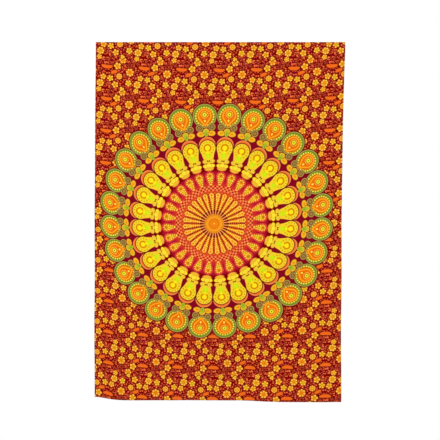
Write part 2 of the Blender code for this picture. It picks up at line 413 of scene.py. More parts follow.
@dataclass(frozen=True)
class FieldPrint:
    """The all-over flower field, one tile repeated over a slightly slanted lattice."""

    width: float = 209.0
    height: float = 180.0
    slant: float = -3.8
    start_across: float = -488.8
    start_down: float = 27.0
    dot_cell: float = 12.2
    dot_scatter: float = 0.85
    dot_least: float = 0.3
    dot_choice: float = 1.8
    dot_crowd: float = 5.0
    stem: float = 1.2
    stem_shadow: float = 3.6

    flowers: tuple[Flower, ...] = (
        Flower(47.7, 8.0, 17.5, 5, 0.4, 0.15, Ink.HEART_ORANGE),
        Flower(88.3, 14.8, 18.5, 5, 1.9, 0.22, Ink.HEART_GREEN),
        Flower(138.5, 2.0, 17.5, 8, 0.0, 0.05, Ink.PETAL_GOLD, Ink.LIGHT_ORANGE),
        Flower(190.1, 37.4, 18.5, 5, 2.6, 0.15, Ink.HEART_GREEN),
        Flower(115.5, 49.0, 19.5, 5, 1.6, 0.18, Ink.HEART_ORANGE),
        Flower(24.5, 79.5, 15.5, 5, 4.7, 0.14, Ink.PETAL_GOLD),
        Flower(31.4, 44.6, 21.0, 7, 0.3, 0.09, Ink.HEART_ORANGE),
        Flower(127.6, 124.8, 20.5, 5, 1.6, 0.17, Ink.HEART_ORANGE),
        Flower(197.3, 157.5, 23.5, 7, 0.8, 0.12, Ink.MID_ORANGE, Ink.LIGHT_ORANGE),
        Flower(156.3, 91.0, 20.0, 5, 1.2, 0.12, Ink.HEART_ORANGE, Ink.LIGHT_ORANGE),
        Flower(153.4, 72.0, 12.5, 3, 0.0, 0.10, Ink.TULIP_YELLOW, Ink.TULIP_YELLOW, Ink.PETAL_TIP),
    )
    leaves: tuple[Leaf, ...] = (
        Leaf(68.3, 132.0, 32.0, 10.0, -0.06, 0.0045),
        Leaf(108.8, 158.5, 20.0, 9.5, 0.34, -0.004),
    )
    stems: tuple[tuple[float, float, float], ...] = (
        (66.0, 92.0, 44.0), (112.0, 92.0, 30.0), (164.0, 150.0, 38.0), (22.0, 130.0, 26.0),
        (180.0, 92.0, 24.0),
    )

    def local(self, place: Signal, across: float, down: float) -> Signal:
        """The step from a point of the tile to here, taken round the tile's edges the short way.

        Args:
            place: here.
            across: the point's distance from the tile's left edge.
            down: its distance from the tile's top edge.

        Returns:
            The step, as a vector.
        """
        step = place.sketch.vector("SUBTRACT", place, (across, down, 0.0))
        half = (self.width / 2, self.height / 2, 1.0)
        return place.sketch.vector("WRAP", step, half, tuple(-h for h in half))

    def paint_dots(self, canvas: Canvas, place: Signal) -> None:
        """Scatter round seeds in salmon and coral, one to a cell, larger where they crowd.

        Args:
            canvas: what they are painted on.
            place: here.
        """
        sketch = canvas.sketch
        tile = sketch.vector("WRAP", place, (self.width, self.height, 1.0), (0.0, 0.0, -1.0))
        inputs = {"Vector": tile, "Scale": 1 / self.dot_cell, "Randomness": self.dot_scatter}
        cells = sketch.node("ShaderNodeTexVoronoi", inputs, voronoi_dimensions="2D", feature="F1")
        distance = Signal(sketch, cells.outputs["Distance"]) * self.dot_cell
        choice, other = sketch.split(Signal(sketch, cells.outputs["Color"]))
        crowd = sketch.noise(tile, 0.028, 1.0)
        least = sketch.scaled(choice, self.dot_choice, self.dot_least)
        size = sketch.scaled(crowd, self.dot_crowd, least)
        canvas.shape(distance - size, sketch.mix(other, Ink.CORAL, Ink.SALMON), 2.0)

    def paint_stems(self, canvas: Canvas, place: Signal) -> None:
        """Draw thin arcs of rose, each part of a circle about a point of the tile.

        Args:
            canvas: what they are painted on.
            place: here.
        """
        for across, down, radius in self.stems:
            off = abs(canvas.sketch.length(self.local(place, across, down)) - radius)
            canvas.shape(off - self.stem_shadow, Ink.OXBLOOD, 2.2)
            canvas.shape(off - self.stem, Ink.ROSE, 2.2)

    def paint_leaf(self, canvas: Canvas, place: Signal, leaf: Leaf) -> None:
        """Draw an oval along a bent midline, blunt at its ends.

        Args:
            canvas: what it is painted on.
            place: here.
            leaf: its sizes.
        """
        sketch = canvas.sketch
        x, y = sketch.split(self.local(place, leaf.across, leaf.down))
        cos, sin = math.cos(leaf.tilt), math.sin(leaf.tilt)
        along = sketch.scaled(x, cos, y * -sin)
        side = sketch.scaled(x, sin, y * cos)
        bowed = sketch.scaled(along * along, leaf.bend, side)
        a, b = along / leaf.long, bowed / leaf.wide
        power = sketch.math("POWER", abs(a), 2.8)
        past = (sketch.scaled(b, b, power) - 1.0) * (leaf.wide / 2)
        canvas.shape(past - 3.0, Ink.OXBLOOD, 2.4)
        canvas.shape(past, Ink.LEAF_ORANGE, 1.8)

    def group(self) -> bpy.types.NodeTree:
        """The field as a node group: a point of the print in millimetres in, its colour out.

        Returns:
            The node group.
        """
        group = Group("printed_field", {"Place": "Vector"}, {"Color": "Color"})
        sketch = group.sketch
        x, y = sketch.split(group.given["Place"])
        upright = sketch.scaled(y, -self.slant / self.height, x)
        place = sketch.join(upright - self.start_across, y - self.start_down)
        wine = sketch.ramp(sketch.noise(place, 0.016, 1.0), 5.0, -2.2)
        canvas = Canvas(sketch, sketch.mix(wine, Ink.CRIMSON, Ink.WINE))
        self.paint_dots(canvas, place)
        self.paint_stems(canvas, place)
        for leaf in self.leaves:
            self.paint_leaf(canvas, place, leaf)
        one = flower_group()
        for flower in self.flowers:
            canvas.colour = sketch.stamp(
                one, "Color", Below=canvas.colour, Offset=self.local(place, flower.across, flower.down),
                Radius=flower.radius, Petals=float(flower.petals), Turn=flower.turn,
                Depth=flower.depth, Heart=flower.heart, Petal=flower.petal, Tip=flower.tip,
            )
        return group.finish(Color=canvas.colour)


# ---- the printed mandala ----
Bands = tuple[tuple[float, Ink], ...]


@dataclass(frozen=True)
class Spot:
    """Where a point lies in its sector, in millimetres.

    t runs across the sector from its middle line, side is t without its sign, s runs outwards
    along the middle line, r is the distance from the mandala's centre and margin the distance
    from the sector's nearer side.
    """

    sketch: Sketch
    t: Signal
    side: Signal
    s: Signal
    r: Signal
    margin: Signal

    def disc(self, across: float, out: float, radius: float = 0.0, flat: float = 1.0) -> Signal:
        """Signed distance to a disc on each side of the middle line.

        Args:
            across: its centre's distance from the middle line.
            out: its centre's distance from the mandala's centre, along the middle line.
            radius: its radius across.
            flat: how many times as tall as wide it is.

        Returns:
            The distance, below nought inside.
        """
        x = self.side - across if across else self.side
        y = self.s - out
        return self.sketch.hypot(x, y if flat == 1.0 else y * (1 / flat)) - radius

    def teardrop(self, out: float, radius: float, length: float) -> Signal:
        """Signed distance to a circle drawn out to a tip that points to the centre.

        Beside the tip the distance is to the straight side that touches the circle.

        Args:
            out: the circle's distance from the mandala's centre.
            radius: its radius.
            length: from its centre to the tip.

        Returns:
            The distance, below nought inside.
        """
        sketch = self.sketch
        lean = radius / length
        straight = math.sqrt(1 - lean * lean)
        q = out - self.s
        circle = sketch.hypot(self.side, q) - radius
        line = sketch.scaled(q, lean, sketch.scaled(self.side, straight, -radius))
        turned = sketch.scaled(q, straight, self.side * -lean)
        beside = sketch.math("GREATER_THAN", turned, 0.0)
        return sketch.scaled(line - circle, beside, circle)

    def beads(self, out: float, ring: float, count: int, radius: float) -> Signal:
        """Signed distance to equal beads on a ring about a point of the middle line.

        Args:
            out: the ring's distance from the mandala's centre.
            ring: its radius.
            count: how many beads it has.
            radius: their radius.

        Returns:
            The distance, below nought inside.
        """
        sketch = self.sketch
        y = self.s - out
        reach = sketch.hypot(self.t, y)
        turned = sketch.wrapped(sketch.math("ARCTAN2", self.t, y), math.pi / count)
        x = sketch.scaled(reach, sketch.math("COSINE", turned), -ring)
        return sketch.hypot(x, reach * sketch.math("SINE", turned)) - radius

    def between(self, low: float, high: float, soft: float = 2.0) -> Signal:
        """1 where r is from low to high."""
        middle, half = (low + high) / 2, (high - low) / 2
        return self.sketch.inside(abs(self.r - middle) - half, soft)


class Motif(Protocol):
    """Something that is painted in every sector."""

    def paint(self, canvas: Canvas, spot: Spot) -> None:
        """Lay it over the canvas."""


@dataclass(frozen=True)
class Disc:
    """A disc on each side of the middle line, with a dark gold edge if edge isn't nought."""

    across: float
    out: float
    radius: float
    ink: Ink
    soft: float
    flat: float = 1.0
    edge: float = 0.0

    def paint(self, canvas: Canvas, spot: Spot) -> None:
        """Paint the edge, then the disc.

        Args:
            canvas: where the sector is painted.
            spot: the place in the sector.
        """
        distance = spot.disc(self.across, self.out, self.radius, self.flat)
        if self.edge:
            canvas.shape(distance - self.edge, Ink.GOLD_SHADE, self.soft)
        canvas.shape(distance, self.ink, self.soft)


@dataclass(frozen=True)
class Rings:
    """Nested bands about a point on each side of the middle line."""

    across: float
    out: float
    bands: Bands
    soft: float = 1.4
    flat: float = 1.0

    def paint(self, canvas: Canvas, spot: Spot) -> None:
        """Paint the bands."""
        canvas.rings(spot.disc(self.across, self.out, flat=self.flat), self.bands, self.soft)


@dataclass(frozen=True)
class Circles:
    """Nested bands about the mandala's centre."""

    bands: Bands
    soft: float

    def paint(self, canvas: Canvas, spot: Spot) -> None:
        """Paint the bands."""
        canvas.rings(spot.r, self.bands, self.soft)


@dataclass(frozen=True)
class Drop:
    """Nested bands in a circle drawn out to a tip that points to the centre."""

    out: float
    radius: float
    length: float
    bands: Bands
    soft: float

    def paint(self, canvas: Canvas, spot: Spot) -> None:
        """Paint the bands."""
        canvas.rings(spot.teardrop(self.out, self.radius, self.length), self.bands, self.soft)


@dataclass(frozen=True)
class Beads:
    """Equal beads on a ring about a point of the middle line."""

    out: float
    ring: float
    count: int
    radius: float
    ink: Ink = Ink.BEAD_YELLOW
    soft: float = 1.6

    def paint(self, canvas: Canvas, spot: Spot) -> None:
        """Paint the beads."""
        distance = spot.beads(self.out, self.ring, self.count, self.radius)
        canvas.shape(distance, self.ink, self.soft)


@dataclass(frozen=True)
class Row:
    """Beads in a row, lean times s plus offset from the middle line, where r is low to high."""

    first: float
    pitch: float
    radius: float
    low: float
    high: float
    lean: float = 0.0
    offset: float = 0.0

    def paint(self, canvas: Canvas, spot: Spot) -> None:
        """Paint the beads, whose middles are every pitch along s.

        Args:
            canvas: where the sector is painted.
            spot: the place in the sector.
        """
        sketch = canvas.sketch
        x = spot.side - (sketch.scaled(spot.s, self.lean, self.offset) if self.lean else 0.0)
        y = sketch.wrapped(spot.s - self.first, self.pitch / 2)
        beads = sketch.inside(sketch.hypot(x, y) - self.radius, 1.6)
        canvas.fill(beads * spot.between(self.low, self.high), Ink.BEAD_YELLOW)


@dataclass(frozen=True)
class Trunk:
    """A bulb's body: a round head that narrows in straight lines to a waist."""

    out: float
    radius: float
    waist_out: float
    waist: float
    below: float
    blend: float
    bands: Bands

    def paint(self, canvas: Canvas, spot: Spot) -> None:
        """Join the head and the taper smoothly: the lesser signed distance counts.

        Args:
            canvas: where the sector is painted.
            spot: the place in the sector.
        """
        sketch = canvas.sketch
        slope = (self.radius - self.waist) / (self.out - self.waist_out)
        taper = sketch.scaled(self.out - spot.s, -slope, self.radius)
        low = sketch.math("MAXIMUM", spot.side - taper, self.waist_out - self.below - spot.s)
        low = sketch.math("MAXIMUM", low, spot.s - self.out)
        head = spot.disc(0.0, self.out, self.radius)
        canvas.rings(sketch.math("SMOOTH_MIN", head, low, self.blend), self.bands, 1.4)


@dataclass(frozen=True)
class Lace:
    """A narrow net of peach and dark spots."""

    middle: float
    half: float
    cell_wide: float
    cell_tall: float

    def paint(self, canvas: Canvas, spot: Spot) -> None:
        """Light and dark by turns: the product of a wave round the ring and one across it.

        Args:
            canvas: where the sector is painted.
            spot: the place in the sector.
        """
        sketch = canvas.sketch
        ring = spot.between(self.middle - self.half, self.middle + self.half, 3.0)
        canvas.fill(ring, Ink.RED_ORANGE)
        step = math.pi / self.cell_tall
        around = sketch.math("COSINE", spot.side * (math.pi / self.cell_wide))
        across = sketch.math("COSINE", sketch.scaled(spot.r, step, -self.middle * step))
        net = around * across
        canvas.fill(sketch.ramp(net, 4.0, -0.9) * ring, Ink.PEACH)
        canvas.fill(sketch.ramp(net, -4.0, -1.6) * ring, Ink.BROWN_LINE)


@dataclass(frozen=True)
class Spokes:
    """The long gold petals round the core, parted by beaded lines."""

    tip: float
    root: float
    wide: float
    narrow: float

    def paint(self, canvas: Canvas, spot: Spot) -> None:
        """Paint petals that widen outwards, their beads, and the lines between them.

        Args:
            canvas: where the sector is painted.
            spot: the place in the sector.
        """
        sketch = canvas.sketch
        grow = (self.wide - self.narrow) / (self.root - self.tip)
        start = self.narrow - self.tip * grow
        edge = spot.side - sketch.scaled(spot.s, grow, start)
        beyond = sketch.math("MAXIMUM", edge, spot.s - self.root)
        cap = spot.disc(0.0, self.root, self.wide)
        warm = sketch.ramp(spot.r, 0.012, -1.1)
        canvas.fill(spot.between(50.0, 180.0), sketch.mix(warm, Ink.BROWN_LINE, Ink.PETAL_RED))
        scallop = sketch.inside(abs(cap - 7.6) - 1.8, 1.6)
        canvas.fill(scallop * spot.between(158.0, 186.0), Ink.CRESCENT)
        Beads(self.root, 16.0, 9, 3.4, Ink.BROWN_LINE, 2.4).paint(canvas, spot)
        bands = ((-2.0, Ink.SPOKE_GOLD), (0.6, Ink.MID_ORANGE), (3.4, Ink.RED_ORANGE))
        canvas.rings(sketch.math("MINIMUM", beyond, cap), bands, 1.4)
        for row in (
            Row(0.0, 11.0, 3.0, 128.0, 160.0, lean=grow, offset=start - 3.0),
            Row(3.0, 11.0, 3.6, 60.0, 134.0),
            Beads(self.root, 9.0, 5, 3.0),
            Disc(0.0, self.root - 2.0, 3.6, Ink.DEEP_ORANGE, 2.0),
        ):
            row.paint(canvas, spot)
        self.paint_lines(canvas, spot)

    def paint_lines(self, canvas: Canvas, spot: Spot) -> None:
        """Draw a row of dark beads on each sector's side, and peach and dark lines by the core.

        Args:
            canvas: what they are painted on.
            spot: here.
        """
        sketch = canvas.sketch
        line = sketch.inside(spot.margin - 2.4, 2.4)
        canvas.fill(line * spot.between(76.0, 140.0, 6.0), Ink.MID_ORANGE)
        bead = sketch.hypot(spot.margin, sketch.wrapped(spot.r, 5.5)) - 4.2
        canvas.fill(sketch.inside(bead, 1.8) * spot.between(76.0, 150.0, 6.0), Ink.SPOKE)
        near = spot.between(48.0, 78.0, 3.0)
        canvas.fill(near, Ink.BROWN_LINE)
        canvas.fill(sketch.inside(spot.side - 3.0, 2.0) * near, Ink.PEACH)


GROUND = (
    Circles((
        (214.0, Ink.PETAL_RED), (232.0, Ink.RED), (290.0, Ink.MAGENTA), (340.0, Ink.CRIMSON),
        (600.0, Ink.PLUM),
    ), 14.0),
    Disc(0.0, 591.5, 70.0, Ink.CRIMSON, 3.0),
)
# The outermost ring: a green-rimmed disc that holds an orange drop with a rosette.
OUTER_PETAL = (
    Rings(0.0, 591.5, ((57.0, Ink.MOSS), (59.5, Ink.DARK_MOSS), (64.5, Ink.STONE), (67.5, Ink.OXBLOOD))),
    Disc(0.0, 588.5, 46.0, Ink.GOLD_SHADE, 3.0),
    Beads(588.5, 49.0, 22, 4.3, soft=2.0),
    Drop(594.0, 40.0, 63.0, (
        (-18.0, Ink.DEEP_ORANGE), (-14.0, Ink.MID_ORANGE), (-10.0, Ink.DEEP_ORANGE),
        (-2.5, Ink.LIGHT_ORANGE), (0.0, Ink.DEEP_ORANGE), (1.8, Ink.GOLD_SHADE),
    ), 1.8),
    Beads(599.0, 18.5, 14, 2.3),
    Rings(0.0, 599.0, (
        (3.6, Ink.OLIVE_DOT), (9.5, Ink.ROSETTE_YELLOW), (12.0, Ink.ROSETTE_GREEN), (14.0, Ink.GOLD_SHADE),
    )),
    Disc(0.0, 566.0, 4.4, Ink.BEAD_YELLOW, 1.8, flat=1.5),
)
# Two olive eyes under each outer petal, and the three-leaved sprig below them.
TREFOIL = (
    Rings(34.0, 529.0, (
        (2.6, Ink.OLIVE_DARK), (5.0, Ink.OLIVE_LIGHT), (9.5, Ink.OLIVE), (11.5, Ink.OLIVE_DARK),
        (14.5, Ink.OLIVE), (18.5, Ink.OLIVE_LIGHT), (20.5, Ink.OXBLOOD),
    )),
    Rings(28.5, 495.0, (
        (7.0, Ink.LOBE_ORANGE), (13.0, Ink.INNER_GOLD), (20.0, Ink.LOBE_YELLOW),
        (22.0, Ink.GOLD_SHADE), (24.0, Ink.OXBLOOD),
    ), 2.4, flat=0.68),
    Rings(0.0, 509.0, (
        (11.0, Ink.SPRIG), (16.0, Ink.LOBE_YELLOW), (18.0, Ink.GOLD_SHADE), (20.0, Ink.OLIVE_DARK),
    ), 2.4, flat=0.85),
    Drop(493.0, 11.0, 22.0, ((-6.0, Ink.SPRIG_DARK), (-1.0, Ink.SPRIG), (1.0, Ink.MOSS)), 2.4),
)
# The bright ring: a yellow bulb under an orange crescent, on a waisted two-leaf foot.
BULB = (
    Rings(0.0, 434.0, ((41.5, Ink.CRESCENT), (45.5, Ink.PEACH), (47.5, Ink.OXBLOOD)), 2.0, flat=0.96),
    Disc(0.0, 416.5, 47.5, Ink.BROWN_LINE, 2.4),
    Trunk(416.5, 43.0, 353.0, 24.5, 8.0, 6.0, (
        (-14.0, Ink.BULB_GREEN), (-2.0, Ink.BULB_YELLOW), (0.0, Ink.WAIST), (1.8, Ink.OXBLOOD),
    )),
    Rings(0.0, 305.0, ((19.0, Ink.LOBE_YELLOW), (22.0, Ink.LOBE_ORANGE), (25.0, Ink.PEACH)), 3.0, flat=0.5),
    Disc(19.0, 345.0, 13.5, Ink.WAIST, 2.0, flat=0.8, edge=1.6),
    Disc(0.0, 349.0, 15.0, Ink.BULB_YELLOW, 3.0, flat=1.1),
    Disc(16.0, 320.0, 15.0, Ink.FOOT_YELLOW, 2.0, flat=0.68, edge=1.8),
    Disc(0.0, 323.0, 15.0, Ink.FOOT_YELLOW, 2.0, flat=0.72, edge=1.6),
    Beads(416.5, 34.0, 13, 3.0, Ink.TICK),
    Disc(0.0, 376.5, 10.0, Ink.LIME, 12.0, flat=1.6),
    Rings(0.0, 418.5, ((13.0, Ink.BULB_HEART), (16.5, Ink.BULB_RING), (21.0, Ink.GOLD_SHADE)), 2.4),
    Disc(0.0, 396.5, 8.0, Ink.BULB_HEART, 8.0),
    Disc(6.2, 347.0, 2.4, Ink.OLIVE_DARK, 1.6, flat=2.6),
    Disc(0.0, 347.0, 6.0, Ink.OLIVE_DARK, 1.6, flat=0.4),
)
# The red ring: gold drops inside red-orange petals, with magenta between them.
INNER_PETAL = (
    Drop(263.0, 24.0, 84.0, (
        (-4.0, Ink.RED_ORANGE), (-1.0, Ink.PETAL_RED), (2.0, Ink.BLUSH), (4.0, Ink.MAGENTA),
    ), 2.0),
    Drop(263.0, 17.5, 58.0, ((-8.0, Ink.INNER_GOLD), (0.0, Ink.DEEP_ORANGE), (2.0, Ink.RED_ORANGE)), 2.0),
    Beads(263.0, 14.5, 8, 3.5),
    Row(2.0, 10.8, 3.3, 213.0, 257.0, lean=0.3, offset=-62.5),
    Disc(0.0, 241.0, 6.4, Ink.HEART_GREEN, 3.0, flat=1.3),
    Rings(0.0, 266.0, ((2.6, Ink.INNER_GOLD), (5.0, Ink.BROWN_LINE), (8.4, Ink.LOBE_ORANGE)), 2.0),
)
CORE = (
    Circles((
        (4.0, Ink.CORE_DOT), (22.0, Ink.CORE_ORANGE), (26.0, Ink.CORE_EDGE), (32.0, Ink.CORE_ORANGE),
        (44.0, Ink.CORE_LIGHT), (47.5, Ink.CORE_EDGE), (50.5, Ink.CORE_LIGHT), (53.0, Ink.GOLD_SHADE),
    ), 2.6),
)


@dataclass(frozen=True)
class MandalaPrint:
    """The round design: twenty-eight equal sectors about the core, ring inside ring."""

    sectors: int = 28
    motifs: tuple[Motif, ...] = (
        *GROUND, *OUTER_PETAL, *TREFOIL, *BULB, *INNER_PETAL,
        Lace(middle=197.0, half=15.0, cell_wide=11.1, cell_tall=10.0),
        Spokes(tip=66.0, root=160.0, wide=11.6, narrow=2.4),
        *CORE,
    )

    def spot(self, place: Signal) -> Spot:
        """Fold a point about the centre into one sector.

        Args:
            place: the step from the centre, in millimetres.

        Returns:
            Where it lies in its sector.
        """
        sketch = place.sketch
        x, y = sketch.split(place)
        radius = sketch.hypot(x, y)
        step = math.pi / self.sectors
        turned = sketch.wrapped(sketch.math("ARCTAN2", x, y) - step, step)
        t = radius * sketch.math("SINE", turned)
        s = radius * sketch.math("COSINE", turned)
        side = abs(t)
        margin = sketch.scaled(s, math.sin(step), side * -math.cos(step))
        return Spot(sketch, t, side, s, radius, margin)

    def group(self) -> bpy.types.NodeTree:
        """The mandala as a node group: a point from its centre in, its colour out.

        Returns:
            The node group.
        """
        sockets = {"Place": "Vector", "Below": "Color"}
        group = Group("printed_mandala", sockets, {"Color": "Color"})
        spot = self.spot(group.given["Place"])
        canvas = Canvas(group.sketch, group.given["Below"])
        for motif in self.motifs:
            motif.paint(canvas, spot)
        return group.finish(Color=canvas.colour)


@dataclass(frozen=True)
class ClothPrint:
    """The whole print: the mandala over the field, with the field turned round below the middle.

    pull narrows the print with height and bow curves its rows, both by the square of the step
    across. wobble is how far the hand-cut screens stray, in millimetres.
    """

    centre_across: float = -22.0
    centre_down: float = 1015.0
    seam_down: float = 1013.5
    turn_across: float = -16.2
    turn_down: float = 1024.3
    turn_wide: float = 1.0255
    turn_tall: float = 1.04
    width: float = 0.992
    pull: float = 3e-8
    bow: float = 0.00006
    tilt: float = 0.003
    wobble: float = 2.4
    wobble_scale: float = 0.022
    ring_wide: float = 0.964
    ring_grow: float = 8.3e-8
    ring_lean: float = -0.015
    ring_climb: float = -6.5e-5
    ring_twist: float = 3e-8
    ring_squash: float = -3.7e-5

    def group(self) -> bpy.types.NodeTree:
        """The print as a node group: a point of the cloth's plan in metres in, its colour out.

        Returns:
            The node group.
        """
        group = Group("cloth_print", {"Plan": "Vector"}, {"Color": "Color"})
        sketch = group.sketch
        x, y = sketch.split(sketch.vector("MULTIPLY", group.given["Plan"], (PER_METRE, PER_METRE, 0.0)))
        square = x * x
        pulled = sketch.scaled(x, self.width, square * y * -self.pull)
        bowed = sketch.scaled(square, self.bow, sketch.scaled(x, self.tilt, y))
        drawn = sketch.join(pulled, bowed)
        hand = sketch.noise(drawn, self.wobble_scale, 1.0, "Color")
        hand = sketch.vector("SUBTRACT", hand, (0.5, 0.5, 0.5))
        stray = (2 * self.wobble, 2 * self.wobble, 0.0)
        place = sketch.vector("MULTIPLY_ADD", hand, stray, drawn)
        below = self.field_colour(place)
        step = self.from_centre(place)
        return group.finish(Color=sketch.stamp(MandalaPrint().group(), "Color", Place=step, Below=below))

    def field_colour(self, place: Signal) -> Signal:
        """The field's colour, with the lower half a half turn of the upper.

        Args:
            place: here, in millimetres.

        Returns:
            The colour.
        """
        sketch = place.sketch
        below = sketch.math("GREATER_THAN", sketch.split(place)[1], self.seam_down)
        flip = (-self.turn_wide, -self.turn_tall, 0.0)
        about = (2 * self.turn_across, 2 * self.turn_down, 0.0)
        turned = sketch.vector("MULTIPLY_ADD", place, flip, about)
        inputs = {"Factor": below, 4: place, 5: turned}
        chosen = sketch.signal("ShaderNodeMix", 1, inputs, data_type="VECTOR")
        return sketch.stamp(FieldPrint().group(), "Color", Place=chosen)

    def from_centre(self, place: Signal) -> Signal:
        """The step from the mandala's centre, up being positive, as the screens registered it.

        The design is a little wide near its middle, leans to the right with height, and climbs
        towards both sides, faster on the left: each effect is a power of the step.

        Args:
            place: here, in millimetres.

        Returns:
            The step, as a vector.
        """
        sketch = place.sketch
        centre = (self.centre_across, self.centre_down, 0.0)
        x, down = sketch.split(sketch.vector("SUBTRACT", place, centre))
        y = down * -1.0
        square = x * x
        wide = sketch.scaled(square, self.ring_grow, self.ring_wide)
        across = sketch.scaled(x, wide, y * self.ring_lean)
        climb = sketch.scaled(x, self.ring_twist, self.ring_climb)
        up = sketch.scaled(square, climb, sketch.scaled(y * y, self.ring_squash, y))
        return sketch.join(across, up)


# ---- cloth effects shared by the materials ----
def weave_group(slub_long: float = 9.0, slub_fine: float = 700.0) -> bpy.types.NodeTree:
    """A plain weave: round threads both ways, each over and then under the next.

    Args:
        slub_long: how often a thread's thickness changes along it, per metre.
        slub_fine: how often it changes from thread to thread, per metre.

    Returns:
        The group, which gives the threads' height and their slubs.
    """
    inputs = {"Plan": "Vector", "Pitch": "Float", "Slub": "Float"}
    group = Group("plain_weave", inputs, {"Height": "Float", "Shade": "Float"})
    sketch, given = group.sketch, group.given
    x, y = sketch.split(given["Plan"])
    warp = sketch.math("SINE", x / given["Pitch"] * math.pi)
    weft = sketch.math("SINE", y / given["Pitch"] * math.pi)
    over = sketch.math("GREATER_THAN", warp * weft, 0.0)
    threads = sketch.scaled(abs(warp) - abs(weft), over, abs(weft))
    across, down = (
        sketch.noise(sketch.vector("MULTIPLY", given["Plan"], scale), 1.0, 2.0)
        for scale in ((slub_long, slub_fine, 1.0), (slub_fine, slub_long, 1.0))
    )
    slub = (across + down - 1.0) * given["Slub"]
    return group.finish(Height=sketch.scaled(slub, 1.6, threads), Shade=slub)


def fade_group(broad_scale: float = 3.0, fine_scale: float = 90.0) -> bpy.types.NodeTree:
    """Uneven dye: broad soft patches and a fine mottle, as a factor near 1.

    Args:
        broad_scale: how many patches there are in a metre.
        fine_scale: how many mottles there are in a metre.

    Returns:
        The group.
    """
    inputs = {"Plan": "Vector", "Strength": "Float"}
    group = Group("dye_fade", inputs, {"Factor": "Float"})
    sketch, given = group.sketch, group.given
    broad = sketch.noise(given["Plan"], broad_scale, 3.0) - 0.5
    fine = sketch.noise(given["Plan"], fine_scale, 2.0) - 0.5
    both = sketch.scaled(fine, 0.6, broad)
    return group.finish(Factor=sketch.scaled(both, given["Strength"], 1.0))


class Effects:
    """The node groups that more than one material uses, each built once."""

    def __init__(self) -> None:
        """Build the groups."""
        self.cloth_print = ClothPrint().group()
        self.weave = weave_group()
        self.fade = fade_group()


# ---- finishes ----
def start_material(name: str) -> tuple[bpy.types.Material, Sketch, bpy.types.Node]:
    """A new material with its sketch and its Principled shader.

    Args:
        name: the material's name.

    Returns:
        The material, its sketch and its shader.
    """
    material = bpy.data.materials.new(name)
    material.use_nodes = True
    return material, Sketch(material.node_tree), material.node_tree.nodes["Principled BSDF"]


def plan_signal(sketch: Sketch) -> Signal:
    """The cloth's plan at this point, in metres."""
    return sketch.signal("ShaderNodeUVMap", "UV", {}, uv_map=PLAN)


def bumped(height: Signal, distance: float, strength: float) -> Signal:
    """A normal from a height, in metres per unit of height."""
    inputs = {"Strength": strength, "Distance": distance, "Height": height}
    return height.sketch.signal("ShaderNodeBump", "Normal", inputs)


@dataclass(frozen=True)
class PrintedCotton:
    """Screen-printed cotton: full colour in front, paler where the ink comes through behind."""

    name: str
    two_sided: bool
    pitch: float = 0.00075
    slub: float = 0.5
    slub_shade: float = 0.35
    slub_rough: float = 0.2
    fade: float = 0.16
    roughness: float = 0.86
    relief: float = 0.00012
    gloss: float = 0.08
    sheen: float = 0.08
    sheen_rough: float = 0.6
    through: float = 0.42

    def material(self, effects: Effects) -> bpy.types.Material:
        """Wire the finish.

        Args:
            effects: the node groups that it uses.

        Returns:
            The material.
        """
        material, sketch, shader = start_material(self.name)
        plan = plan_signal(sketch)
        colour = sketch.stamp(effects.cloth_print, "Color", Plan=plan)
        if self.two_sided:
            behind = sketch.signal("ShaderNodeAttribute", "Fac", {}, attribute_name=REVERSE)
            colour = sketch.mix(behind * self.through, colour, Ink.SALMON)
        weave = sketch.node("ShaderNodeGroup", node_tree=effects.weave)
        sketch.wire(weave, {"Plan": plan, "Pitch": self.pitch, "Slub": self.slub})
        shade = Signal(sketch, weave.outputs["Shade"])
        height = Signal(sketch, weave.outputs["Height"])
        fade = sketch.stamp(effects.fade, "Factor", Plan=plan, Strength=self.fade)
        inputs = {0: colour, "Scale": sketch.scaled(shade, self.slub_shade, fade)}
        dyed = sketch.signal("ShaderNodeVectorMath", "Vector", inputs, operation="SCALE")
        sketch.wire(shader, {
            "Base Color": dyed,
            "Sheen Tint": dyed,
            "Specular Tint": dyed,
            "Roughness": sketch.scaled(shade, self.slub_rough, self.roughness),
            "Normal": bumped(height, self.relief, 0.5),
            "Specular IOR Level": self.gloss,
            "Sheen Weight": self.sheen,
            "Sheen Roughness": self.sheen_rough,
        })
        return material


@dataclass(frozen=True)
class PlainCotton:
    """Unprinted cotton, as cloth or as spun thread, with painted shade between the threads and painted
    highlight on their crests.
    """

    name: str
    # dark shows as painted shade between the threads and light as painted highlight on the thread crests;
    # slubs and uneven dye also move the colour between them.
    dark: tuple[float, float, float]
    light: tuple[float, float, float]
    pitch: float
    roughness: float = 0.9
    slub: float = 0.8
    fade: float = 0.5
    # How strongly the weave height sets the colour: painted shade in the gaps, painted highlight on the
    # crests, and the slubs' own tone.
    shade_and_slub_strength: float = 0.45
    relief: float = 0.00015
    sheen: float = 0.1

    def material(self, effects: Effects) -> bpy.types.Material:
        """Wire the finish.

        Args:
            effects: the node groups that it uses.

        Returns:
            The material.
        """
        material, sketch, shader = start_material(self.name)
        plan = plan_signal(sketch)
        height = sketch.stamp(effects.weave, "Height", Plan=plan, Pitch=self.pitch, Slub=self.slub)
        fade = sketch.stamp(effects.fade, "Factor", Plan=plan, Strength=self.fade)
        # Painted shade and highlight: the colour follows the weave height, dark between the threads and
        # light on their crests, with slubs and uneven dye varying it at random.
        gap_shade_and_tone = sketch.ramp(height, self.shade_and_slub_strength, fade - 0.75)
        sketch.wire(shader, {
            "Base Color": sketch.mix(gap_shade_and_tone, (*self.dark, 1.0), (*self.light, 1.0)),
            "Roughness": self.roughness,
            "Normal": bumped(height, self.relief, 0.6),
            "Sheen Weight": self.sheen,
        })
        return material


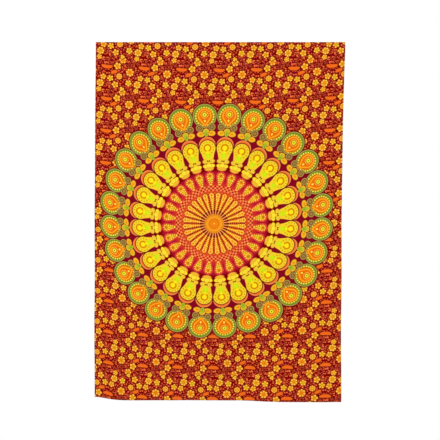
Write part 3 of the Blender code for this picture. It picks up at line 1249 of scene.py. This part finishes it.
@dataclass(frozen=True)
class PineWood:
    """Sanded pine: long grain lines with darker late wood."""

    name: str = "pine_batten"
    early_wood: tuple[float, float, float] = (0.66, 0.46, 0.24)
    late_wood: tuple[float, float, float] = (0.44, 0.26, 0.11)
    lines: float = 42.0
    bend: float = 6.0
    relief: float = 0.0003

    def material(self) -> bpy.types.Material:
        """Wire the finish, with the grain along X.

        Returns:
            The material.
        """
        material, sketch, shader = start_material(self.name)
        place = sketch.signal("ShaderNodeTexCoord", "Object", {})
        long = sketch.vector("MULTIPLY", place, (1.6, 60.0, 60.0))
        uneven = sketch.noise(long, 1.0, 3.0)
        stretched = sketch.vector("MULTIPLY", place, (0.08, 1.0, 1.0))
        inputs = {"Vector": stretched, "Scale": self.lines, "Distortion": self.bend, "Detail": 3.0}
        settings = {"wave_type": "BANDS", "bands_direction": "Z"}
        bands = sketch.signal("ShaderNodeTexWave", "Fac", inputs, **settings)
        grain = sketch.scaled(bands, 0.6, uneven * 0.5)
        sketch.wire(shader, {
            "Base Color": sketch.mix(grain, (*self.late_wood, 1.0), (*self.early_wood, 1.0)),
            "Roughness": sketch.scaled(grain, -0.15, 0.68),
            "Normal": bumped(grain, self.relief, 0.4),
        })
        return material


@dataclass(frozen=True)
class Finishes:
    """Every finish of the hanging, made once."""

    cloth: bpy.types.Material
    hem: bpy.types.Material
    sleeve: bpy.types.Material
    thread: bpy.types.Material
    wood: bpy.types.Material


def make_finishes() -> Finishes:
    """Build the shared effects and the finishes that use them.

    Returns:
        The finishes.
    """
    effects = Effects()
    calico = PlainCotton("unbleached_sleeve", (0.46, 0.36, 0.23), (0.68, 0.58, 0.42), 0.0011)
    thread = PlainCotton("spun_thread", (0.12, 0.008, 0.006), (0.26, 0.02, 0.016), 0.0004, 0.75)
    return Finishes(
        cloth=PrintedCotton("printed_cotton_cloth", two_sided=True).material(effects),
        hem=PrintedCotton("printed_cotton_hem", two_sided=False).material(effects),
        sleeve=calico.material(effects),
        thread=thread.material(effects),
        wood=PineWood().material(),
    )


# ---- meshes from arrays ----
def quads(numbers: Array) -> Array:
    """The quads between neighbouring rows and columns of an array of point numbers."""
    corners = (numbers[:-1, :-1], numbers[:-1, 1:], numbers[1:, 1:], numbers[1:, :-1])
    return np.stack(corners, -1).reshape(-1, 4)


def tube_faces(rings: int, count: int) -> Array:
    """The quads of a closed tube: its side, and its two ends, whose points are paired across.

    Args:
        rings: how many rings of points it has.
        count: how many points each ring has, an even number.

    Returns:
        The quads, as point numbers, which run ring by ring.
    """
    numbers = np.arange(rings * count).reshape(rings, count)
    faces = [quads(np.concatenate([numbers, numbers[:, :1]], 1))]
    for row, order in ((numbers[0], 1), (numbers[-1], -1)):
        near, far = row[: count // 2], row[::-1][: count // 2]
        strip = np.stack([near[:-1], far[:-1], far[1:], near[1:]], 1)
        faces.append(strip[:, ::order])
    return np.concatenate(faces)


def outward(points: Array, faces: Array) -> Array:
    """The quads of one closed shell, turned about if the volume that they enclose is negative.

    Args:
        points: the shell's points, in metres.
        faces: its quads, as point numbers.

    Returns:
        The quads, facing outwards.
    """
    first, second, third, fourth = (points[faces[:, corner]] for corner in range(4))
    volume = np.sum(first * (np.cross(second, third) + np.cross(third, fourth)))
    return faces if volume > 0 else faces[:, ::-1]


def make_piece(name: str, points: Array, faces: Array, plan: Array,
               material: bpy.types.Material) -> bpy.types.Object:
    """A smooth mesh object at the origin, with the cloth's plan as its UV map.

    Args:
        name: the piece's name.
        points: its points, in metres.
        faces: its quads, as point numbers.
        plan: the plan (u, v) at each point, in metres.
        material: its finish.

    Returns:
        The object.
    """
    mesh = bpy.data.meshes.new(name)
    mesh.from_pydata(points.tolist(), [], faces.tolist())
    layer = mesh.uv_layers.new(name=PLAN)
    corners = np.empty(len(mesh.loops), dtype=np.int32)
    mesh.loops.foreach_get("vertex_index", corners)
    layer.data.foreach_set("uv", plan[corners].astype(np.float32).ravel())
    mesh.materials.append(material)
    mesh.polygons.foreach_set("use_smooth", np.full(len(mesh.polygons), True))
    mesh.update()
    piece = bpy.data.objects.new(name, mesh)
    bpy.context.collection.objects.link(piece)
    return piece


# ---- the cloth's shape ----
@dataclass(frozen=True)
class Fold:
    """A wave across the cloth: how long and high it is, how far it drifts, and its phase."""

    long: float
    high: float
    drift: float
    phase: float


@dataclass
class HungCloth:
    """Where every point of the cloth's plan hangs, worked out from the frame's boxes."""

    half_width: float
    height: float
    top: float
    middle_depth: float
    hinge_down: float
    thickness: float = 0.0005
    folds: tuple[Fold, ...] = (
        Fold(0.46, 0.62, 0.10, 0.9), Fold(0.29, 0.341, -0.16, 2.1), Fold(0.17, 0.186, 0.22, 4.0),
    )
    sway_deep: float = 0.00464
    forward: float = 0.0006
    tight: float = 0.0026
    slip_side: float = 0.0160
    narrow_side: float = 0.0075
    swing_side: float = 0.0012
    lift_corner: float = 0.018
    lift_reach: float = 0.09
    stretch: float = 0.008
    swing_deep: float = 0.0052
    swing_middle: float = 0.22
    swing_reach: float = 0.1

    @classmethod
    def from_frame(cls) -> "HungCloth":
        """Take the sizes from the CAD panels.

        Returns:
            The cloth.
        """
        head_low, head_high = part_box("panel_heading")
        drop_low, drop_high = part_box("panel_drop")
        return cls(
            half_width=(head_high[0] - head_low[0]) / 2,
            height=head_high[2] - drop_low[2],
            top=head_high[2],
            middle_depth=(head_low[1] + head_high[1]) / 2,
            hinge_down=head_high[2] - (head_low[2] + drop_high[2]) / 2,
        )

    def middle(self, u: Array, v: Array) -> Array:
        """The cloth's middle surface.

        With fall from 0 at the bend line to 1 at the bottom edge, each effect grows as
        1 - exp(-rate fall). Depth is a sum of upright folds and one slow cross wave, the width
        slips sideways and draws in, and the bottom edge rises at the left corner by a bell
        curve and swings once by a tanh, both in proportion to fall squared.

        Args:
            u: metres right of the cloth's middle.
            v: metres below its top edge.

        Returns:
            The points, in metres, as an array that ends in three.
        """
        fall = np.clip((v - self.hinge_down) / (self.height - self.hinge_down), 0.0, None)
        fold = 0.35 * np.sin(TURN * (v / 0.83) + 1.3) * np.sin(TURN * u / 1.1 + 0.4)
        for wave in self.folds:
            fold = fold + wave.high * np.sin(TURN * (u / wave.long + wave.drift * fall) + wave.phase)
        depth_grow, slip_grow, narrow_grow = (1.0 - np.exp(-rate * fall) for rate in (3.2, 3.3, 4.0))
        depth = self.middle_depth - depth_grow * (self.sway_deep * fold + self.forward)
        slip = self.tight + self.slip_side * slip_grow
        narrow = self.tight + self.narrow_side * narrow_grow
        x = u - slip - narrow * u / self.half_width
        x = x + self.swing_side * fall * np.sin(TURN * v / 0.62 + 1.0)
        corner = self.lift_corner * np.exp(-(((u + self.half_width) / self.lift_reach) ** 2))
        swing = self.swing_deep * np.tanh((u - self.swing_middle) / self.swing_reach)
        z = self.top - v + fall**2 * (corner - self.stretch - swing)
        return np.stack(np.broadcast_arrays(x, depth, z), -1)

    def normal(self, u: Array, v: Array) -> Array:
        """The unit normal that points to the wall, from steps along u and v.

        Args:
            u: metres right of the cloth's middle.
            v: metres below its top edge.

        Returns:
            The normals, as an array that ends in three.
        """
        step = 0.0005
        across = self.middle(u + step, v) - self.middle(u - step, v)
        down = self.middle(u, v + step) - self.middle(u, v - step)
        normal = np.cross(across, down)
        return normal / np.linalg.norm(normal, axis=-1, keepdims=True)

    def at(self, u: Array, v: Array, back: Array | float) -> Array:
        """A point back metres behind the middle surface, towards the wall."""
        u, v = np.broadcast_arrays(np.asarray(u, float), np.asarray(v, float))
        return self.middle(u, v) + self.normal(u, v) * np.asarray(back, float)[..., None]


@dataclass
class PrintedPanel:
    """The printed cloth itself, one sheet from the top edge to the bottom edge."""

    cloth: HungCloth
    columns: int = 113
    rows: int = 161

    def build(self, finish: bpy.types.Material) -> bpy.types.Object:
        """Two grids, front and back, joined by a rim: p = middle + normal x half thickness.

        Args:
            finish: the cloth's material.

        Returns:
            The piece, which marks its back as REVERSE.
        """
        u = np.linspace(-self.cloth.half_width, self.cloth.half_width, self.columns)
        v = np.linspace(0.0, self.cloth.height, self.rows)
        vv, uu = np.meshgrid(v, u, indexing="ij")
        half = self.cloth.thickness / 2
        sides = [self.cloth.at(uu, vv, back).reshape(-1, 3) for back in (-half, half)]
        count = uu.size
        numbers = np.arange(count).reshape(uu.shape)
        edges = (numbers[0, :-1], numbers[:-1, -1], numbers[-1, :0:-1], numbers[:0:-1, 0])
        ring = np.concatenate(edges)
        after = np.roll(ring, -1)
        rim = np.stack([after, after + count, ring + count, ring], 1)
        faces = quads(numbers)
        plan = np.stack([uu.ravel(), vv.ravel()], 1)
        piece = make_piece(
            "printed_panel",
            np.concatenate(sides),
            np.concatenate([faces[:, ::-1], faces + count, rim]),
            np.concatenate([plan, plan]),
            finish,
        )
        side = piece.data.attributes.new(REVERSE, "FLOAT", "POINT")
        side.data.foreach_set("value", np.repeat([0.0, 1.0], count).astype(np.float32))
        return piece


class Edge(Enum):
    """An edge of the cloth, seen from the front."""

    LEFT = "left"
    RIGHT = "right"
    TOP = "top"
    BOTTOM = "bottom"


@dataclass
class TurnedHem:
    """A hem turned to the back: a flat loop of cloth whose outer side is the cloth's edge."""

    cloth: HungCloth
    edge: Edge
    width: float
    start: float
    end: float
    steps: int
    deep: float = 0.0009
    gap: float = 0.00012
    puff: float = 0.00025

    def plan_point(self, along: Array, inward: Array) -> tuple[Array, Array]:
        """The plan point that lies inward metres in from the edge, along metres along it.

        Args:
            along: u for the top and bottom edges, v for the sides.
            inward: metres in from the edge.

        Returns:
            u and v.
        """
        if self.edge is Edge.LEFT:
            return -self.cloth.half_width + inward, along
        if self.edge is Edge.RIGHT:
            return self.cloth.half_width - inward, along
        if self.edge is Edge.TOP:
            return along, inward
        return along, self.cloth.height - inward

    def section(self) -> tuple[Array, Array]:
        """The loop's outline: how far in from the edge, and how far behind the cloth.

        Returns:
            The two distances at each of its points, in metres.
        """
        turn = np.linspace(-math.pi / 2, math.pi / 2, 7)
        radius = self.deep / 2
        bulge, rise = np.cos(turn) * radius, np.sin(turn) * radius
        near = self.cloth.thickness / 2 + self.gap
        thirds = [self.width * 0.66, self.width * 0.33]
        high = near + self.deep + self.puff
        inward = [self.width - radius + bulge, thirds, radius - bulge, thirds[::-1]]
        back = [near + radius + rise, [high, high], near + radius - rise, [near, near]]
        return np.concatenate(inward), np.concatenate(back)

    def build(self, finish: bpy.types.Material) -> bpy.types.Object:
        """Carry the loop along the edge, puckered behind, and close its two ends.

        Args:
            finish: the hem's material.

        Returns:
            The piece.
        """
        inward, back = self.section()
        along = np.linspace(self.start, self.end, self.steps)
        pucker = 0.00012 * np.sin(TURN * along / 0.021) + 0.0001 * np.sin(TURN * along / 0.034 + 1.0)
        aa, ii = np.meshgrid(along, inward, indexing="ij")
        bb = back + (back > back.mean()) * pucker[:, None]
        points = self.cloth.at(*self.plan_point(aa, ii), bb).reshape(-1, 3)
        plan = np.stack([side.ravel() for side in self.plan_point(aa, -ii)], 1)
        faces = outward(points, tube_faces(self.steps, len(inward)))
        name = self.edge.value + ("_side_hem" if self.edge in (Edge.LEFT, Edge.RIGHT) else "_edge_hem")
        return make_piece(name, points, faces, plan, finish)


@dataclass
class StitchLine:
    """A line of lockstitch: short rounded threads in front and behind, a pitch apart."""

    cloth: HungCloth
    name: str
    start: tuple[float, float]
    end: tuple[float, float]
    behind: float
    pitch: float = 0.0032
    long: float = 0.0026
    thread: float = 0.00022
    sides: int = 6

    def build(self, finish: bpy.types.Material) -> bpy.types.Object:
        """One small arched tube per stitch: a few rings of points, pinched at its ends.

        Args:
            finish: the thread's material.

        Returns:
            The piece.
        """
        begin, end = np.array(self.start), np.array(self.end)
        length = float(np.linalg.norm(end - begin))
        ahead = (end - begin) / length
        count = int(length / self.pitch)
        swell = np.array([0.25, 0.9, 1.0, 0.9, 0.25])[:, None] * self.thread
        arch = np.array([-0.9, 0.4, 0.7, 0.4, -0.9])[:, None] * self.thread
        ring = np.arange(self.sides) * TURN / self.sides
        middles = (np.arange(count) + 0.5) * (length / count)
        along = middles[:, None, None] + np.linspace(-0.5, 0.5, len(swell))[:, None] * self.long
        along, aside, rise = np.broadcast_arrays(along, np.cos(ring) * swell, np.sin(ring) * swell + arch)
        u = begin[0] + ahead[0] * along - ahead[1] * aside
        v = begin[1] + ahead[1] * along + ahead[0] * aside
        levels = (-self.cloth.thickness / 2 - rise, self.behind + rise)
        points = [self.cloth.at(u, v, level).reshape(-1, 3) for level in levels]
        plan = np.stack([u.ravel(), v.ravel()], 1)
        one = tube_faces(len(swell), self.sides)
        starts = np.arange(count) * swell.size * self.sides
        faces = (one + starts[:, None, None]).reshape(-1, 4)
        return make_piece(
            self.name,
            np.concatenate(points),
            np.concatenate([faces[:, ::-1], faces + len(plan)]),
            np.concatenate([plan, plan]),
            finish,
        )


@dataclass
class HangingSleeve:
    """The flat tube on the back: a double-walled loop of plain cotton round the batten."""

    half_length: float
    flange: float
    tube: float
    front: float
    top_down: float
    wall: float = 0.0006
    bend: float = 0.0026
    deep: float = -0.00035
    steps: int = 160

    @classmethod
    def from_frame(cls, cloth: HungCloth) -> "HangingSleeve":
        """Take the sizes from the CAD sleeve.

        Args:
            cloth: the cloth that it is sewn to.

        Returns:
            The sleeve.
        """
        low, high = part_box("sleeve_front")
        back_low, back_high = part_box("sleeve_back")
        return cls(
            half_length=(high[0] - low[0]) / 2,
            flange=(high[2] - low[2]) / 2,
            tube=(back_high[2] - back_low[2]) / 2,
            front=low[1],
            top_down=cloth.top,
        )

    def outline(self) -> tuple[Array, Array]:
        """The tube's section from the upper flange round the back to the lower one, as (y, z).

        Returns:
            The depths and the heights of its points, in metres.
        """
        turn = np.linspace(0.0, math.pi / 2, 6)
        upper = self.tube - self.wall
        flange = self.front + self.wall * np.array([0.5, 0.5, 1.0])
        y = np.concatenate([flange, self.deep - self.bend * (1.0 - np.sin(turn))])
        round_z = upper + 0.0002 - self.bend * (1.0 - np.cos(turn))
        z = np.concatenate([[self.flange, upper + 0.0042, upper + 0.0012], round_z])
        return np.concatenate([y, y[::-1]]), np.concatenate([z, -z[::-1]])

    def flat_size(self) -> tuple[float, float]:
        """The strip that the tube is sewn from: its length, and once round the tube.

        Returns:
            The two lengths, in metres.
        """
        y, z = self.outline()
        round_back = float(np.hypot(np.diff(y), np.diff(z)).sum())
        return 2 * self.half_length, round_back + 2 * self.flange

    def build(self, finish: bpy.types.Material) -> bpy.types.Object:
        """Sweep the back layer, a little slack, and the flat front layer along X.

        Args:
            finish: the sleeve's material.

        Returns:
            The piece.
        """
        y, z = self.outline()
        x = np.linspace(-self.half_length, self.half_length, self.steps)
        slack = 0.0005 * np.sin(TURN * x / 0.19) + 0.0004 * np.sin(TURN * x / 0.083 + 1.7)
        tangent = np.gradient(np.stack([y, z], 1), axis=0)
        tangent /= np.linalg.norm(tangent, axis=1, keepdims=True)
        half = self.wall / 2
        out_y, out_z = -tangent[:, 1] * half, tangent[:, 0] * half
        loop_y = np.concatenate([y + out_y, (y - out_y)[::-1]])
        loop_z = np.concatenate([z + out_z, (z - out_z)[::-1]])
        loose = (np.abs(loop_z) < self.tube * 0.8) & (loop_y > self.front + 0.004)
        back, back_faces = self.sweep(x, loop_y - slack[:, None] * loose, loop_z)
        face_y = self.front + half * np.array([-0.5, -0.5, 0.5, 0.5])
        face_z = self.flange * np.array([1.0, -1.0, -1.0, 1.0])
        front, front_faces = self.sweep(x, face_y, face_z)
        points = np.concatenate([back, front])
        faces = np.concatenate([back_faces, front_faces + len(back)])
        plan = np.stack([points[:, 0], self.top_down - points[:, 2] + points[:, 1]], 1)
        return make_piece("hanging_sleeve", points, faces, plan, finish)

    def sweep(self, x: Array, y: Array, z: Array) -> tuple[Array, Array]:
        """Carry a closed loop along X.

        Args:
            x: its places.
            y: the loop's depths, the same at every place or row by row.
            z: the loop's heights.

        Returns:
            The points, and the quads that close it.
        """
        points = np.stack(np.broadcast_arrays(x[:, None], y, z), -1).reshape(-1, 3)
        return points, outward(points, tube_faces(len(x), len(z)))


# ---- the hanging ----
@dataclass
class Hanging:
    """The whole wall hanging: its pieces, what they ride on and what they stand for."""

    cloth: HungCloth
    finishes: Finishes
    bend_reach: float = 0.055
    inset: float = 0.0004
    seam_inset: float = 0.003

    def declare(self, piece: bpy.types.Object, slot: str, *nodes: str) -> bpy.types.Object:
        """Make a piece stand for its CAD nodes, and log it.

        Args:
            piece: the piece.
            slot: not used.
            nodes: the CAD nodes that it stands for.

        Returns:
            The piece.
        """
        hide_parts(*nodes)
        LOG.info("%s: %d faces, for %s", piece.name, len(piece.data.polygons), ", ".join(nodes))
        return piece

    def fix(self, piece: bpy.types.Object, body: str, slot: str, *nodes: str) -> bpy.types.Object:
        """Make a piece ride on one body and stand for its CAD nodes."""
        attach(piece, body)
        return self.declare(piece, slot, *nodes)

    def bend(self, piece: bpy.types.Object, slot: str, *nodes: str) -> bpy.types.Object:
        """Bake a piece's transform into its mesh, and make it stand for its CAD nodes.

        Args:
            piece: the piece.
            slot: not used.
            nodes: the CAD nodes that it stands for.

        Returns:
            The piece.
        """
        joint = next(j for j in frame["joints"] if j["name"] == "drop_swing")
        x, y, z = joint["pos_m"]
        z - self.bend_reach
        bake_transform(piece)
        return self.declare(piece, slot, *nodes)

    def hems(self) -> list[bpy.types.Object]:
        """The four turned hems.

        Returns:
            The pieces.
        """
        cloth, finish = self.cloth, self.finishes.hem
        side, top, bottom = (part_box(node) for node in ("drop_left_hem", "top_hem", "bottom_hem"))
        side_width = side[1][0] - side[0][0]
        reach = cloth.half_width - side_width - self.inset
        made = []
        for edge in (Edge.LEFT, Edge.RIGHT):
            hem = TurnedHem(cloth, edge, side_width, self.inset, cloth.height - self.inset, 420)
            nodes = (f"heading_{edge.value}_hem", f"drop_{edge.value}_hem")
            made.append(self.bend(hem.build(finish), "hem_cotton", *nodes))
        for edge, box, body in ((Edge.TOP, top, "heading"), (Edge.BOTTOM, bottom, "drop")):
            hem = TurnedHem(cloth, edge, box[1][2] - box[0][2], -reach, reach, 300)
            made.append(self.fix(hem.build(finish), body, "hem_cotton", edge.value + "_hem"))
        return made

    def seams(self) -> list[bpy.types.Object]:
        """Every line of stitches, front and back.

        Returns:
            The pieces.
        """
        cloth, thread = self.cloth, self.finishes.thread
        hem_back = cloth.thickness / 2 + 0.0010
        flange_back = abs(cloth.middle_depth) - abs(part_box("sleeve_front")[1][1]) + 0.0004
        made = []
        for word in ("left", "right"):
            node = word + "_hem_stitching"
            low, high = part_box(node)
            u = (low[0] + high[0]) / 2
            ends = ((u, self.seam_inset), (u, cloth.height - self.seam_inset))
            line = StitchLine(cloth, word + "_side_seam", *ends, hem_back)
            nodes = ("heading_" + word + "_stitching", node)
            made.append(self.bend(line.build(thread), "hem_thread", *nodes))
        rows = (
            ("top_edge_seam", "top_hem_stitching", "heading", hem_back),
            ("sleeve_upper_seam", "sleeve_upper_stitching", "heading", flange_back),
            ("sleeve_lower_seam", "sleeve_lower_stitching", "heading", flange_back),
            ("bottom_edge_seam", "bottom_hem_stitching", "drop", hem_back),
        )
        for name, node, body, behind in rows:
            low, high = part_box(node)
            v = cloth.top - (low[2] + high[2]) / 2
            line = StitchLine(cloth, name, (low[0], v), (high[0], v), behind)
            made.append(self.fix(line.build(thread), body, "hem_thread", node))
        return made

    def build(self) -> None:
        panel = PrintedPanel(self.cloth).build(self.finishes.cloth)
        self.bend(panel, "printed_cotton", "panel_heading", "panel_drop")
        edges = self.hems() + self.seams()
        tube = HangingSleeve.from_frame(self.cloth)
        sleeve = tube.build(self.finishes.sleeve)
        nodes = ("sleeve_front", "sleeve_back", "sleeve_upper_edge", "sleeve_lower_edge")
        self.fix(sleeve, "heading", "sleeve_cotton", *nodes)
        tube.flat_size()
        for place in frame["nodes"]["batten"].material_slots:
            place.material = self.finishes.wood
        LOG.info("batten: pine")


# ---- studio ----
@dataclass(frozen=True)
class Lamp:
    """A soft square lamp in front of the hanging: its place across, and its power in watts."""

    name: str
    across: float
    power: float
    size: float = 1.8
    near: float = -3.4
    up: float = 0.6
    aim_up: float = -1.0

    def build(self) -> None:
        """Hang the lamp and turn it to the hanging's middle line."""
        data = bpy.data.lights.new(self.name, "AREA")
        data.shape = "SQUARE"
        data.size = self.size
        data.energy = self.power
        item = bpy.data.objects.new(self.name, data)
        item.location = (self.across, self.near, self.up)
        x, y, z = -self.across, -self.near, self.aim_up - self.up
        tilt = math.atan2(math.hypot(x, y), -z)
        item.rotation_euler = (tilt, 0.0, math.atan2(y, x) - math.pi / 2)
        bpy.context.collection.objects.link(item)


@dataclass
class Studio:
    """A pale floor, even light and a camera straight in front."""

    across: float = -0.0056
    height: float = -0.9677
    distance: float = 6.0
    frame_width: float = 2.464
    sensor: float = 36.0
    floor_down: float = -2.47
    floor_box: tuple[float, float, float] = (4.0, -7.5, 0.9)
    surround: float = 0.97
    lamps: tuple[Lamp, ...] = (Lamp("left_softbox", -2.6, 20.0), Lamp("right_softbox", 2.2, 9.0))

    def camera(self) -> None:
        """Set up a level camera that looks along +Y."""
        data = bpy.data.cameras.new("front_camera")
        data.sensor_width = self.sensor
        data.lens = self.sensor * self.distance / self.frame_width
        item = bpy.data.objects.new("front_camera", data)
        item.location = (self.across, -self.distance, self.height)
        item.rotation_euler = (math.pi / 2, 0.0, 0.0)
        bpy.context.collection.objects.link(item)
        bpy.context.scene.camera = item

    def floor(self) -> None:
        """Lay a plain pale slab below the hanging."""
        mesh = bpy.data.meshes.new("studio_floor")
        (x, near, far), z = self.floor_box, self.floor_down
        mesh.from_pydata([(-x, near, z), (x, near, z), (x, far, z), (-x, far, z)], [], [(0, 1, 2, 3)])
        material, sketch, shader = start_material("pale_floor")
        sketch.wire(shader, {"Base Color": (0.86, 0.86, 0.85, 1.0), "Roughness": 0.8})
        mesh.materials.append(material)
        item = bpy.data.objects.new("studio_floor", mesh)
        bpy.context.collection.objects.link(item)

    def light(self) -> None:
        """Set up a white surround, a little dimmer as light than it looks, and the lamps."""
        world = bpy.data.worlds.new("white_surround")
        world.use_nodes = True
        sketch = Sketch(world.node_tree)
        seen = sketch.signal("ShaderNodeLightPath", "Is Camera Ray", {})
        strength = sketch.scaled(seen, 1.0 - self.surround, self.surround)
        background = world.node_tree.nodes["Background"]
        sketch.wire(background, {"Color": (1.0, 1.0, 1.0, 1.0), "Strength": strength})
        bpy.context.scene.world = world
        for lamp in self.lamps:
            lamp.build()
        bpy.context.scene.view_settings.view_transform = "Standard"

    def build(self) -> None:
        """Set up the studio."""
        self.camera()
        self.floor()
        self.light()


def main() -> None:
    """Build the studio and the hanging."""
    Studio().build()
    Hanging(HungCloth.from_frame(), make_finishes()).build()


if __name__ == "__main__":
    main()
